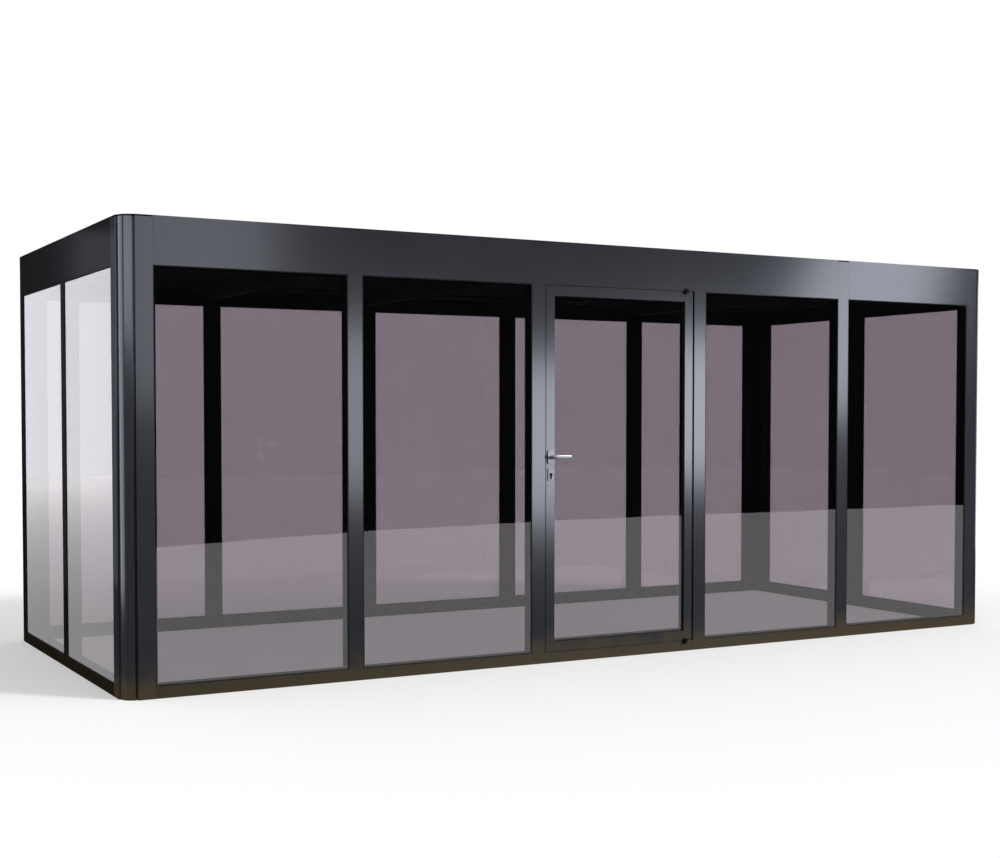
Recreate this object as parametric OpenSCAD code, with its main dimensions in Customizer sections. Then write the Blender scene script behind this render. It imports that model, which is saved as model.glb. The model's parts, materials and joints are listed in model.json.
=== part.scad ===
// Glass greenhouse: a flat-roofed aluminium frame with tinted panes, five bays long and two bays deep.
// Millimetres, +Z up. The origin is on the ground, in the middle of the box around the whole object.
// The door is in the middle bay of the front wall, which faces -Y.

/* [Bays] */
// Clear width of a pane in the front and back walls
front_pane_w = 1000; // [600:10:1400]
// Clear width of a pane in the two end walls
side_pane_w = 960; // [600:10:1400]
// Clear height of the panes
pane_h = 2010; // [1850:10:2400]

/* [Frame] */
// Width of a post on the face of the wall
post_w = 80; // [60:1:120]
// Depth of the posts, sills and fascia, from the outside face inwards
post_d = 86; // [75:1:130]
// Width of a corner post on each of its two faces
corner_w = 160; // [145:1:220]
// Height of the sill on the ground
sill_h = 60; // [50:1:120]
// Height of the fascia over the panes
fascia_h = 235; // [180:1:320]
// Chamfer at the ends of sills and fascia, which shows as a hairline seam
seam = 1.5; // [0.5:0.1:3]
// Thickness of the cap on top of each post
cap_h = 8; // [3:0.5:15]

/* [Corner nose] */
// Distance from the corner's two outer planes to the centre of the round nose
nose_centre = 75; // [60:1:80]
// How far the nose lies behind those planes
nose_inset = 8; // [2:0.5:12]
// Width of the shadow groove on each side of the nose
groove_w = 12; // [6:1:18]
// Depth of the shadow groove
groove_d = 20; // [10:1:30]

/* [Glass] */
// Thickness of a pane
glass_t = 8; // [4:0.5:12]
// Distance from the outside face of the wall to the pane
glass_recess = 4; // [3:0.5:25]

/* [Roof] */
// Height from the top of the fascia down to the top of the beams
parapet_h = 115; // [80:1:140]
// Height of the cross beams
beam_h = 90; // [50:1:95]
// Thickness of a roof panel
roof_t = 40; // [20:1:60]
// Joint between two roof panels, and from a panel to the fascia
roof_joint = 4; // [2:0.5:10]
// Section of the ledge that carries the roof panels along the walls
ledge = 30; // [20:1:45]

/* [Door] */
// Thickness of the door leaf
leaf_d = 40; // [30:1:50]
// Width of the leaf's stiles and rails
leaf_bar_w = 54; // [48:1:80]
// Gap between the leaf and the post on the latch side
latch_gap = 8; // [7:0.5:14]
// Gap between the leaf and the post on the hinge side
hinge_gap = 12; // [9:0.5:18]
// Gap over and under the leaf
leaf_gap = 6; // [5:0.5:10]
// How much lower the threshold is than the sills
threshold_drop = 4; // [0:0.5:20]
// Distance from the leaf's face to its pane
leaf_glass_recess = 14; // [6:1:20]
// Width of the stop strips that close the gaps behind the leaf
stop_w = 10; // [9:0.5:11]
// Depth of the stop strips
stop_d = 12; // [6:0.5:20]
// Gap between the back of the leaf and the stop strips
stop_gap = 6; // [5:0.5:8]
// Height of the stop strip over the leaf
head_stop_h = 14; // [10:0.5:25]

/* [Hinges] */
// Distance from the leaf's hinge edge to the axis
hinge_in = 50; // [40:1:60]
// Radius of a hinge knuckle, which is also how far the axis lies before the leaf
knuckle_r = 11; // [9:0.5:14]
// Height of one hinge block
hinge_h = 11; // [10:0.5:24]
// Reach of a hinge block from the axis along the leaf
hinge_arm = 14; // [12:1:34]
// Radius of the hinge pin
hinge_pin_r = 5; // [3:0.5:6.5]
// Radial clearance of the pin in its bore
hinge_pin_clear = 0.05; // [0.02:0.01:0.1]
// How far the pin goes into the leaf's block
hinge_pin_in = 8; // [5:0.5:9]
// Radius of the collar that the leaf turns on
collar_r = 9; // [7:0.5:9]
// Clearance between the collar and the leaf's block
collar_clear = 0.3; // [0.1:0.1:0.5]

/* [Handle] */
// Height of the spindle over the foot of the leaf
spindle_h = 1068; // [900:1:1150]
// Radius of the spindle
spindle_r = 4.5; // [3:0.5:6]
// Radial clearance around the spindle
spindle_clear = 0.5; // [0.2:0.1:1]
// Width of the rose plate
rose_w = 40; // [34:1:42]
// Height of the rose plate
rose_h = 72; // [50:1:90]
// Thickness of the rose plate
rose_t = 8; // [4:0.5:12]
// Radius of the lever's neck
neck_r = 9; // [7:0.5:12]
// Clearance between the lever's neck and the rose
neck_clear = 0.4; // [0.2:0.1:1]
// How far the lever stands out from the face of the leaf
lever_reach = 58; // [45:1:75]
// Length of the lever from the spindle to its end
lever_l = 104; // [90:1:160]
// Height of the lever's bar
lever_h = 21; // [20:0.5:28]
// Thickness of the lever's bar
lever_t = 14; // [8:0.5:20]

/* [Lock] */
// Distance from the spindle down to the key
key_drop = 95; // [85:1:110]
// Width of the keyhole plate
key_plate_w = 33; // [28:1:42]
// Height of the keyhole plate
key_plate_h = 67; // [50:1:80]
// Thickness of the keyhole plate
key_plate_t = 6; // [3:0.5:9]
// Radius of the round part of the lock cylinder
barrel_r = 8.5; // [7:0.5:10]
// Width of the lock cylinder's web
barrel_web_w = 10; // [8:0.5:12]
// Distance from the round part's centre to the foot of the web
barrel_web_h = 24; // [18:1:28]
// How far the lock cylinder stands out of its plates
barrel_out = 2; // [1:0.5:4]
// Clearance around the lock cylinder
barrel_clear = 0.3; // [0.2:0.1:0.6]

/* [Hidden] */
// One overrun serves every cut
overrun = 1;
$fn = 64;

frame_colour = "#2b2c2f";
roof_colour = "#232427";
glass_colour = [0.43, 0.38, 0.42, 0.35];
black_colour = "#141416";
handle_colour = "#c4c3c4";
seal_colour = "#18181a";

// Bays are counted from the wall's left corner, as seen from outside
front_bays = [0, 1, 2, 3, 4];
side_bays = [0, 1];
door_bay = 2;
glazed_front_bays = [for (bay = front_bays) if (bay != door_bay) bay];

front_pitch = front_pane_w + post_w;
side_pitch = side_pane_w + post_w;
frame_l = 2 * corner_w + len(front_bays) * front_pitch - post_w;
frame_w = 2 * corner_w + len(side_bays) * side_pitch - post_w;
fascia_z = sill_h + pane_h;
frame_h = fascia_z + fascia_h;
post_h = frame_h - cap_h;

// The lever reaches out past the front wall, so the wall stands back by half that reach
front_y = (lever_reach - frame_w) / 2;
back_y = front_y + frame_w;

roof_z = frame_h - parapet_h;
beam_z = roof_z - beam_h;

// The leaf, in the front wall's own coordinates: u along the wall, v inwards, z up
leaf_u = corner_w + door_bay * front_pitch + latch_gap;
leaf_w = front_pane_w - latch_gap - hinge_gap;
threshold_h = sill_h - threshold_drop;
leaf_z = threshold_h + leaf_gap;
leaf_h = fascia_z - leaf_gap - leaf_z;
leaf_top = leaf_z + leaf_h;
leaf_pane_w = leaf_w - 2 * leaf_bar_w;
leaf_pane_h = leaf_h - 2 * leaf_bar_w;

hinge_u = leaf_u + leaf_w - hinge_in;
hinge_bore_r = hinge_pin_r + hinge_pin_clear;
// Circle that the back corner of the leaf sweeps around the hinge axis
sweep_r = norm([hinge_in, leaf_d + knuckle_r]);

spindle_u = leaf_u + leaf_bar_w / 2;
spindle_z = leaf_z + spindle_h;
spindle_bore_r = spindle_r + spindle_clear;
neck_foot = rose_t + neck_clear;
key_z = spindle_z - key_drop;

// Each wall is drawn as seen from outside, from its left corner, and then turned into its place
module on_front() translate([-frame_l / 2, front_y, 0]) children();
module on_right() translate([frame_l / 2, front_y, 0]) rotate([0, 0, 90]) children();
module on_back() translate([frame_l / 2, back_y, 0]) rotate([0, 0, 180]) children();
module on_left() translate([-frame_l / 2, back_y, 0]) rotate([0, 0, -90]) children();

// The two faces of the door leaf: the inside one is the outside one reflected in the leaf's middle
module on_both_faces() {
    children();
    translate([0, leaf_d, 0]) mirror([0, 1, 0]) children();
}

// A post between two panes: post number n stands before bay n
module post(n, pitch) {
    translate([corner_w + n * pitch - post_w, 0, 0]) cube([post_w, post_d, post_h]);
}

// A sill or fascia bar as long as a pane, with its outer end edges chamfered
module wall_bar(length, height) {
    linear_extrude(height)
        polygon([
            [0, seam],
            [seam, 0],
            [length - seam, 0],
            [length, seam],
            [length, post_d],
            [0, post_d]
        ]);
}

// Bars in the given bays of a wall, from height z
module wall_bars(bays, pitch, z, height) {
    for (bay = bays)
        translate([corner_w + bay * pitch, 0, z]) wall_bar(pitch - post_w, height);
}

// Panes in the given bays of a wall
module wall_panes(bays, pitch) {
    for (bay = bays)
        translate([corner_w + bay * pitch, glass_recess, sill_h])
            cube([pitch - post_w, glass_t, pane_h]);
}

// A corner of the frame: an angle with a round nose between two shadow grooves
module corner_profile(height) {
    difference() {
        cube([corner_w, corner_w, height]);
        translate([post_d, post_d, -overrun])
            cube([corner_w, corner_w, height + 2 * overrun]);
        difference() {
            translate([-overrun, -overrun, -overrun])
                cube([nose_centre + overrun, nose_centre + overrun, height + 2 * overrun]);
            translate([nose_centre, nose_centre, -2 * overrun])
                cylinder(r = nose_centre - nose_inset, h = height + 4 * overrun);
        }
        translate([nose_centre - groove_w, -overrun, -overrun])
            cube([groove_w, groove_d + overrun, height + 2 * overrun]);
        translate([-overrun, nose_centre - groove_w, -overrun])
            cube([groove_d + overrun, groove_w, height + 2 * overrun]);
    }
}

// Frame
module corner_post_front_left() color(frame_colour) on_front() corner_profile(post_h);
module corner_post_front_right() color(frame_colour) on_right() corner_profile(post_h);
module corner_post_back_right() color(frame_colour) on_back() corner_profile(post_h);
module corner_post_back_left() color(frame_colour) on_left() corner_profile(post_h);

module front_post(n) color(frame_colour) on_front() post(n, front_pitch);
module back_post(n) color(frame_colour) on_back() post(n, front_pitch);
module left_post() color(frame_colour) on_left() post(1, side_pitch);
module right_post() color(frame_colour) on_right() post(1, side_pitch);

module front_fascia() color(frame_colour) on_front() wall_bars(front_bays, front_pitch, fascia_z, fascia_h);
module back_fascia() color(frame_colour) on_back() wall_bars(front_bays, front_pitch, fascia_z, fascia_h);
module left_fascia() color(frame_colour) on_left() wall_bars(side_bays, side_pitch, fascia_z, fascia_h);
module right_fascia() color(frame_colour) on_right() wall_bars(side_bays, side_pitch, fascia_z, fascia_h);

module front_sill() color(frame_colour) on_front() wall_bars(glazed_front_bays, front_pitch, 0, sill_h);
module back_sill() color(frame_colour) on_back() wall_bars(front_bays, front_pitch, 0, sill_h);
module left_sill() color(frame_colour) on_left() wall_bars(side_bays, side_pitch, 0, sill_h);
module right_sill() color(frame_colour) on_right() wall_bars(side_bays, side_pitch, 0, sill_h);
module door_threshold() color(frame_colour) on_front() wall_bars([door_bay], front_pitch, 0, threshold_h);

module front_glass() color(glass_colour) on_front() wall_panes(glazed_front_bays, front_pitch);
module back_glass() color(glass_colour) on_back() wall_panes(front_bays, front_pitch);
module left_glass() color(glass_colour) on_left() wall_panes(side_bays, side_pitch);
module right_glass() color(glass_colour) on_right() wall_panes(side_bays, side_pitch);

// A cap closes the top of each post of one wall, its left corner included
module wall_caps(bays, pitch) {
    translate([0, 0, post_h]) {
        corner_profile(cap_h);
        for (bay = bays)
            if (bay > 0)
                translate([corner_w + bay * pitch - post_w, 0, 0]) cube([post_w, post_d, cap_h]);
    }
}

module post_caps() {
    color(black_colour) {
        on_front() wall_caps(front_bays, front_pitch);
        on_right() wall_caps(side_bays, side_pitch);
        on_back() wall_caps(front_bays, front_pitch);
        on_left() wall_caps(side_bays, side_pitch);
    }
}

// Roof
module roof_beams() {
    color(roof_colour)
        on_front()
            for (bay = front_bays)
                if (bay > 0)
                    translate([corner_w + bay * front_pitch - post_w, post_d, beam_z])
                        cube([post_w, frame_w - 2 * post_d, beam_h]);
}

// Where the room begins and ends in a bay: at the end wall or at the side of a beam
function bay_from(bay) = bay == 0 ? post_d : corner_w + bay * front_pitch;
function bay_to(bay) = bay == len(front_bays) - 1 ? frame_l - post_d : corner_w + (bay + 1) * front_pitch - post_w;

module long_ledges() {
    for (bay = front_bays)
        translate([bay_from(bay), post_d, roof_z - ledge])
            cube([bay_to(bay) - bay_from(bay), ledge, ledge]);
}

module end_ledge() {
    translate([post_d + ledge + roof_joint, post_d, roof_z - ledge])
        cube([frame_w - 2 * (post_d + ledge + roof_joint), ledge, ledge]);
}

module roof_ledges() {
    color(roof_colour) {
        on_front() long_ledges();
        on_back() long_ledges();
        on_right() end_ledge();
        on_left() end_ledge();
    }
}

// Roof panels meet over the middle of the beams
function panel_from(bay) =
    bay == 0 ? post_d + roof_joint : corner_w + bay * front_pitch - post_w / 2 + roof_joint / 2;
function panel_to(bay) =
    bay == len(front_bays) - 1
        ? frame_l - post_d - roof_joint
        : corner_w + (bay + 1) * front_pitch - post_w / 2 - roof_joint / 2;

module roof_panels() {
    color(roof_colour)
        on_front()
            for (bay = front_bays)
                translate([panel_from(bay), post_d + roof_joint, roof_z])
                    cube([panel_to(bay) - panel_from(bay), frame_w - 2 * (post_d + roof_joint), roof_t]);
}

// Strips on the posts and the fascia that close the gaps behind the leaf.
// The strip over the leaf ends short of the circle that the leaf sweeps at its hinge.
module door_stops() {
    stop_v = leaf_d + stop_gap;
    stop_h = fascia_z - threshold_h;
    head_u = leaf_u - latch_gap + stop_w + seam;
    color(seal_colour)
        on_front() {
            translate([leaf_u - latch_gap, stop_v, threshold_h]) cube([stop_w, stop_d, stop_h]);
            translate([leaf_u + leaf_w + hinge_gap - stop_w, stop_v, threshold_h])
                cube([stop_w, stop_d, stop_h]);
            translate([head_u, stop_v, fascia_z - head_stop_h])
                cube([hinge_u - sweep_r - stop_w - head_u, stop_d, head_stop_h]);
        }
}

// One hinge block: a knuckle on the axis with an arm along the wall, against its face
module hinge_block(side) {
    cylinder(r = knuckle_r, h = hinge_h);
    translate([side < 0 ? -hinge_arm : 0, 0, 0]) cube([hinge_arm, knuckle_r, hinge_h]);
    translate([side < 0 ? -hinge_arm : 0, -knuckle_r, 0]) cube([hinge_arm, knuckle_r, hinge_h]);
}

// The pin and its collar stand on the frame's block and enter the leaf's block
module hinge_pin() {
    cylinder(r = collar_r, h = leaf_gap - collar_clear);
    cylinder(r = hinge_pin_r, h = leaf_gap + hinge_pin_in);
}

module on_hinge_axis(z) on_front() translate([hinge_u, -knuckle_r, z]) children();

module hinge_brackets() {
    color(black_colour) {
        on_hinge_axis(fascia_z) {
            hinge_block(1);
            mirror([0, 0, 1]) hinge_pin();
        }
        on_hinge_axis(threshold_h) {
            mirror([0, 0, 1]) hinge_block(-1);
            hinge_pin();
        }
    }
}

// Door
module hinge_leaf_block(side) {
    difference() {
        hinge_block(side);
        translate([0, 0, -overrun]) cylinder(r = hinge_bore_r, h = hinge_pin_in + 2 * overrun);
    }
}

module hinge_leaves() {
    color(black_colour) {
        on_hinge_axis(leaf_top) mirror([0, 0, 1]) hinge_leaf_block(-1);
        on_hinge_axis(leaf_z) hinge_leaf_block(1);
    }
}

// A bore through the latch stile and its roses
module spindle_bore(from_v, length) {
    translate([spindle_u, from_v, spindle_z])
        rotate([-90, 0, 0]) cylinder(r = spindle_bore_r, h = length);
}

// The lock cylinder's section: a round barrel with a web below it
module barrel(clear, from_v, length) {
    translate([spindle_u, from_v, key_z]) {
        rotate([-90, 0, 0]) cylinder(r = barrel_r + clear, h = length);
        translate([-barrel_web_w / 2 - clear, 0, -barrel_web_h - clear])
            cube([barrel_web_w + 2 * clear, length, barrel_web_h + clear]);
    }
}

module latch_stile() {
    color(frame_colour)
        on_front()
            difference() {
                translate([leaf_u, 0, leaf_z]) cube([leaf_bar_w, leaf_d, leaf_h]);
                spindle_bore(-overrun, leaf_d + 2 * overrun);
                barrel(barrel_clear, -overrun, leaf_d + 2 * overrun);
            }
}

module hinge_stile() {
    color(frame_colour)
        on_front()
            translate([leaf_u + leaf_w - leaf_bar_w, 0, leaf_z]) cube([leaf_bar_w, leaf_d, leaf_h]);
}

module leaf_rail(z) {
    color(frame_colour)
        on_front()
            translate([leaf_u + leaf_bar_w, 0, z]) cube([leaf_pane_w, leaf_d, leaf_bar_w]);
}

module top_rail() leaf_rail(leaf_top - leaf_bar_w);
module bottom_rail() leaf_rail(leaf_z);

module door_glass() {
    color(glass_colour)
        on_front()
            translate([leaf_u + leaf_bar_w, leaf_glass_recess, leaf_z + leaf_bar_w])
                cube([leaf_pane_w, glass_t, leaf_pane_h]);
}

module handle_roses() {
    color(handle_colour)
        on_front()
            on_both_faces()
                difference() {
                    translate([spindle_u - rose_w / 2, -rose_t, spindle_z - rose_h / 2])
                        cube([rose_w, rose_t, rose_h]);
                    spindle_bore(-rose_t - overrun, rose_t + 2 * overrun);
                }
}

module keyhole_plates() {
    color(handle_colour)
        on_front()
            on_both_faces()
                difference() {
                    translate([spindle_u - key_plate_w / 2, -key_plate_t, key_z - key_plate_h / 2])
                        cube([key_plate_w, key_plate_t, key_plate_h]);
                    barrel(barrel_clear, -key_plate_t - overrun, key_plate_t + 2 * overrun);
                }
}

module lock_cylinder() {
    proud = key_plate_t + barrel_out;
    color(black_colour) on_front() barrel(0, -proud, leaf_d + 2 * proud);
}

// Lever
module lever() {
    translate([spindle_u, -lever_reach, spindle_z]) {
        rotate([-90, 0, 0]) cylinder(r = neck_r, h = lever_reach - neck_foot);
        translate([0, 0, -lever_h / 2]) cube([lever_l, lever_t, lever_h]);
        rotate([-90, 0, 0]) cylinder(d = lever_h, h = lever_t);
    }
}

module outside_lever() color(handle_colour) on_front() lever();

module inside_lever() {
    color(handle_colour) on_front() translate([0, leaf_d, 0]) mirror([0, 1, 0]) lever();
}

module lever_spindle() {
    color(handle_colour)
        on_front()
            translate([spindle_u, -neck_foot, spindle_z])
                rotate([-90, 0, 0]) cylinder(r = spindle_r, h = leaf_d + 2 * neck_foot);
}

corner_post_front_left();
corner_post_front_right();
corner_post_back_left();
corner_post_back_right();
front_post(1);  // front_post_1
front_post(2);  // front_post_2
front_post(3);  // front_post_3
front_post(4);  // front_post_4
back_post(1);  // back_post_1
back_post(2);  // back_post_2
back_post(3);  // back_post_3
back_post(4);  // back_post_4
left_post();
right_post();
front_fascia();
back_fascia();
left_fascia();
right_fascia();
front_sill();
back_sill();
left_sill();
right_sill();
door_threshold();
front_glass();
back_glass();
left_glass();
right_glass();
roof_beams();
roof_ledges();
roof_panels();
post_caps();
door_stops();
hinge_brackets();
latch_stile();
hinge_stile();
top_rail();
bottom_rail();
door_glass();
hinge_leaves();
handle_roses();
keyhole_plates();
lock_cylinder();
outside_lever();
inside_lever();
lever_spindle();
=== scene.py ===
# %% [markdown]
# # A glass greenhouse in a white studio
#
# The real object is a flat-roofed room of coated aluminium posts and tinted panes, five bays long and
# two bays deep, with a hinged door in the middle of the front. The CAD frame already holds every size
# and every moving body. This lesson keeps that frame still and dresses it: rounded edges, gaskets,
# glass, screws, a roof and a lock that look right close up, then soft light and the camera.

import json
import math

import bmesh
import bpy
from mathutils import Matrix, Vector


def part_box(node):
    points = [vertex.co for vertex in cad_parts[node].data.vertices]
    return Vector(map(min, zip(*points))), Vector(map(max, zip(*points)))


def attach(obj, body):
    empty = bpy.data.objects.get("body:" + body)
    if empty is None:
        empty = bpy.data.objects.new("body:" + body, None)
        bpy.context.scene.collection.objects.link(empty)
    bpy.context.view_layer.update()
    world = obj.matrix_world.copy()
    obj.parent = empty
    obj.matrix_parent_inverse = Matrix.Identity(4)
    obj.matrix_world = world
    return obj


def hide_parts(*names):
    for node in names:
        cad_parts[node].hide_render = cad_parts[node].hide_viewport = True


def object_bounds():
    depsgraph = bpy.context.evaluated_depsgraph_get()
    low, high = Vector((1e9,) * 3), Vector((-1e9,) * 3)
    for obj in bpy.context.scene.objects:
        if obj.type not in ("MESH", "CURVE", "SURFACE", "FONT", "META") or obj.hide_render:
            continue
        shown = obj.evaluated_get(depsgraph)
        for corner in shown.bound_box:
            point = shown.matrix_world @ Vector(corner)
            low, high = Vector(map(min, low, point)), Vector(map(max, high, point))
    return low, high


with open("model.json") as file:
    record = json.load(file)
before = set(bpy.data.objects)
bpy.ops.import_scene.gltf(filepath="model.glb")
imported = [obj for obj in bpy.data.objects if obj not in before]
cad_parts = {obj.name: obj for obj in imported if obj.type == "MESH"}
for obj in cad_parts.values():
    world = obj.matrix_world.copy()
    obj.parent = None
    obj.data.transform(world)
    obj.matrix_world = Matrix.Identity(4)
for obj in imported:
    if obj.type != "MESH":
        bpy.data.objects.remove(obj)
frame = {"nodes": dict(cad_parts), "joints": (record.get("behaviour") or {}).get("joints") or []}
cad_low, cad_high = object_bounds()
scene = bpy.context.scene
scene.view_settings.view_transform = "Standard"
MM = 0.001
print("CAD box:", [round(v, 3) for v in cad_low], [round(v, 3) for v in cad_high])

# %% [markdown]
# ## Camera
#
# A camera could be moved by hand until the picture looks about right. Here the posts, sills and fascia
# were measured in the picture and one camera was fitted to all of them, so its place, turn and lens are
# known. The shift is small: the picture was cropped a little above the middle of the lens.

# %% Camera
eye = Vector((-4.7033, -8.2114, 1.3448))
lens = bpy.data.cameras.new("garden_camera")
lens.sensor_fit = "HORIZONTAL"
lens.sensor_width = 36.0
lens.lens = 54.36
lens.shift_x = -0.001
lens.shift_y = 0.0408
lens.clip_end = 200.0
camera = bpy.data.objects.new("garden_camera", lens)
camera.location = eye
camera.rotation_euler = (math.radians(88.028), 0.0, math.radians(-29.03))
scene.collection.objects.link(camera)
scene.camera = camera
print("camera stands", round((eye - (cad_low + cad_high) / 2).length, 2), "m from the middle")

# %% [markdown]
# ## Colours and nodes
#
# Colours are picked as hex values, as in a paint chart, but Blender mixes light in linear values, so one
# function turns the first into the second. Another adds any node with its settings, and feeds its inputs
# with plain values or with what other nodes give. So each finish below reads as a short list.

# %% Colours and nodes
def colour(text):
    """A hex colour as linear red, green, blue and alpha."""
    parts = [int(text[i : i + 2], 16) / 255 for i in (1, 3, 5)]
    return tuple(p / 12.92 if p <= 0.04045 else ((p + 0.055) / 1.055) ** 2.4 for p in parts) + (1.0,)


def feed(node, values):
    """Sets inputs of a node to plain values, or links them to a socket or to a node's first output."""
    for key, value in values.items():
        if isinstance(value, bpy.types.Node):
            value = value.outputs[0]
        if isinstance(value, bpy.types.NodeSocket):
            node.id_data.links.new(value, node.inputs[key])
        else:
            node.inputs[key].default_value = value


def add(tree, kind, values=None, **settings):
    """A new node of a tree, with its settings, and with its inputs fed."""
    node = tree.nodes.new(kind)
    for name, value in settings.items():
        setattr(node, name, value)
    feed(node, values or {})
    return node


print("middle grey in linear light:", round(colour("#808080")[0], 3))

# %% [markdown]
# ## Floor and backdrop
#
# The picture stands on pure white. A white world gives that for every ray that shows the background:
# straight, mirrored or through glass. Light that falls on surfaces comes from a dimmer world, so the
# floor keeps a soft shadow, and a small lift brings the lit floor to the same white.
#
# The dark coat mirrors hardly anything in the picture, so it gets a dark curtain all round and a dark
# floor. The panes do show the pale floor, up to a line where a dark curtain stands in front. Light Path
# tells the two apart: a ray off a pane is singular, a ray off a satin coat is glossy but not singular.
# It also counts the glass faces on the way. A ray that has passed two panes comes from inside the room,
# where the bars show no bright edges and the far panes no second image of the floor.

# %% White world
shade_level, white_level = 0.7, 1.0


def bare_tree(owner):
    """The emptied node tree of a world or material, and what a Light Path node in it gives."""
    owner.use_nodes = True
    tree = owner.node_tree
    tree.nodes.clear()
    return tree, add(tree, "ShaderNodeLightPath").outputs


world = bpy.data.worlds.new("white_studio")
tree, path = bare_tree(world)
mirrored = add(tree, "ShaderNodeMath", {0: path["Is Camera Ray"], 1: path["Is Glossy Ray"]},
               operation="MAXIMUM")
shown = add(tree, "ShaderNodeMath", {0: mirrored, 1: path["Is Transmission Ray"]}, operation="MAXIMUM")
level = add(tree, "ShaderNodeMapRange", {"Value": shown, "To Min": shade_level, "To Max": white_level})
backdrop = add(tree, "ShaderNodeBackground", {"Color": colour("#ffffff"), "Strength": level})
add(tree, "ShaderNodeOutputWorld", {"Surface": backdrop})
scene.world = world
print("world:", len(tree.nodes), "nodes")

# %% Floor paint
floor_lift = 0.235
# Light Path counts whole steps, so these lie between two of them: a mirror on the way, two panes passed
one_mirror, two_panes = 0.5, 3.5


def floor_material(name, far_y, far_level, near_y, near_level):
    """White paint, dark to a glossy ray, and with its own level in y to a ray off a pane."""
    material = bpy.data.materials.new(name)
    tree, path = bare_tree(material)
    shown = add(tree, "ShaderNodeMath", {0: path["Is Camera Ray"], 1: path["Is Transmission Ray"]},
                operation="MAXIMUM")
    lift = add(tree, "ShaderNodeMath", {0: shown, 1: floor_lift}, operation="MULTIPLY")
    paint = add(tree, "ShaderNodeBsdfDiffuse", {"Color": colour("#e7e7e7")})
    glow = add(tree, "ShaderNodeEmission", {"Color": colour("#ffffff"), "Strength": lift})
    plain = add(tree, "ShaderNodeAddShader", {0: paint, 1: glow})
    place = add(tree, "ShaderNodeTexCoord")
    where = add(tree, "ShaderNodeSeparateXYZ", {0: place.outputs["Object"]})
    level = add(tree, "ShaderNodeMapRange", {"Value": where.outputs["Y"],
                                             "From Min": far_y, "From Max": near_y,
                                             "To Min": far_level, "To Max": near_level})
    near = add(tree, "ShaderNodeMath", {0: path["Transmission Depth"], 1: two_panes}, operation="LESS_THAN")
    clean = add(tree, "ShaderNodeMath", {0: path["Is Singular Ray"], 1: near}, operation="MULTIPLY")
    seen = add(tree, "ShaderNodeMath", {0: clean, 1: level}, operation="MULTIPLY")
    image = add(tree, "ShaderNodeEmission", {"Color": colour("#ffffff"), "Strength": seen})
    mirror = add(tree, "ShaderNodeMath", {0: path["Glossy Depth"], 1: one_mirror}, operation="GREATER_THAN")
    look = add(tree, "ShaderNodeMixShader", {0: mirror, 1: plain, 2: image})
    add(tree, "ShaderNodeOutputMaterial", {"Surface": look})
    return material


near_paint = floor_material("white_floor_paint", 2.0, 0.56, 22.0, 1.5)
far_paint = floor_material("white_floor_paint_beyond_curtain", -10.0, 0.0, 22.0, 0.0)
print("floor paints:", near_paint.name, "and", far_paint.name)

# %% Floor sheets and curtains
floor_left, floor_right, floor_back, floor_front = -18.0, 22.0, 26.0, -26.0
curtain_h, hem_z = 9.0, -0.05
# The line on the floor at which the panes' pale image of the floor ends
veil_line = [(floor_left, -8.1), (-4.7, -8.1), (-0.3, -9.4), (2.3, -10.4), (5.1, -10.9), (8.0, -11.0),
             (floor_right, -10.9)]
back_corners = [(floor_right, floor_back), (floor_left, floor_back)]
front_corners = [(floor_left, floor_front), (floor_right, floor_front)]


def curtain_material(name, hides_from_panes):
    """Black cloth for glossy rays, and clear for all others."""
    material = bpy.data.materials.new(name)
    tree, path = bare_tree(material)
    glossy = add(tree, "ShaderNodeMath", {0: path["Glossy Depth"], 1: one_mirror}, operation="GREATER_THAN")
    satin = add(tree, "ShaderNodeMath", {0: glossy, 1: path["Is Singular Ray"]}, operation="SUBTRACT",
                use_clamp=True)
    inside = add(tree, "ShaderNodeMath", {0: path["Transmission Depth"], 1: two_panes},
                 operation="GREATER_THAN")
    from_room = add(tree, "ShaderNodeMath", {0: glossy, 1: inside}, operation="MULTIPLY")
    coat_or_room = add(tree, "ShaderNodeMath", {0: satin, 1: from_room}, operation="MAXIMUM")
    clear = add(tree, "ShaderNodeBsdfTransparent")
    dark = add(tree, "ShaderNodeBsdfDiffuse", {"Color": colour("#2a2a2c")})
    when = glossy if hides_from_panes else coat_or_room
    look = add(tree, "ShaderNodeMixShader", {0: when, 1: clear, 2: dark})
    add(tree, "ShaderNodeOutputMaterial", {"Surface": look})
    return material


def stage_sheet(name, corners, faces, material):
    """A flat piece of the studio, which is no part of the object."""
    mesh = bpy.data.meshes.new(name)
    mesh.from_pydata(corners, [], faces)
    mesh.materials.append(material)
    sheet = bpy.data.objects.new(name, mesh)
    scene.collection.objects.link(sheet)
    return sheet


def curtain(name, line, material):
    """Cloth that hangs over a line on the floor."""
    hems = [(x, y, hem_z) for x, y in line]
    heads = [(x, y, curtain_h) for x, y in line]
    widths = [(i, i + 1, len(line) + i + 1, len(line) + i) for i in range(len(line) - 1)]
    cloth = stage_sheet(name, hems + heads, widths, material)
    cloth.visible_camera = False
    cloth.visible_diffuse = False
    cloth.visible_shadow = False


near_edge = veil_line + back_corners
far_edge = front_corners + veil_line[::-1]
stage_sheet("near_floor", [(x, y, 0.0) for x, y in near_edge], [range(len(near_edge))], near_paint)
stage_sheet("far_floor", [(x, y, 0.0) for x, y in far_edge], [range(len(far_edge))], far_paint)
curtain("front_curtain", veil_line, curtain_material("black_cloth", True))
curtain("round_curtain", veil_line[-1:] + back_corners + veil_line[:1],
        curtain_material("black_scrim", False))
print("floor:", floor_right - floor_left, "by", floor_back - floor_front, "m")

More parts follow.
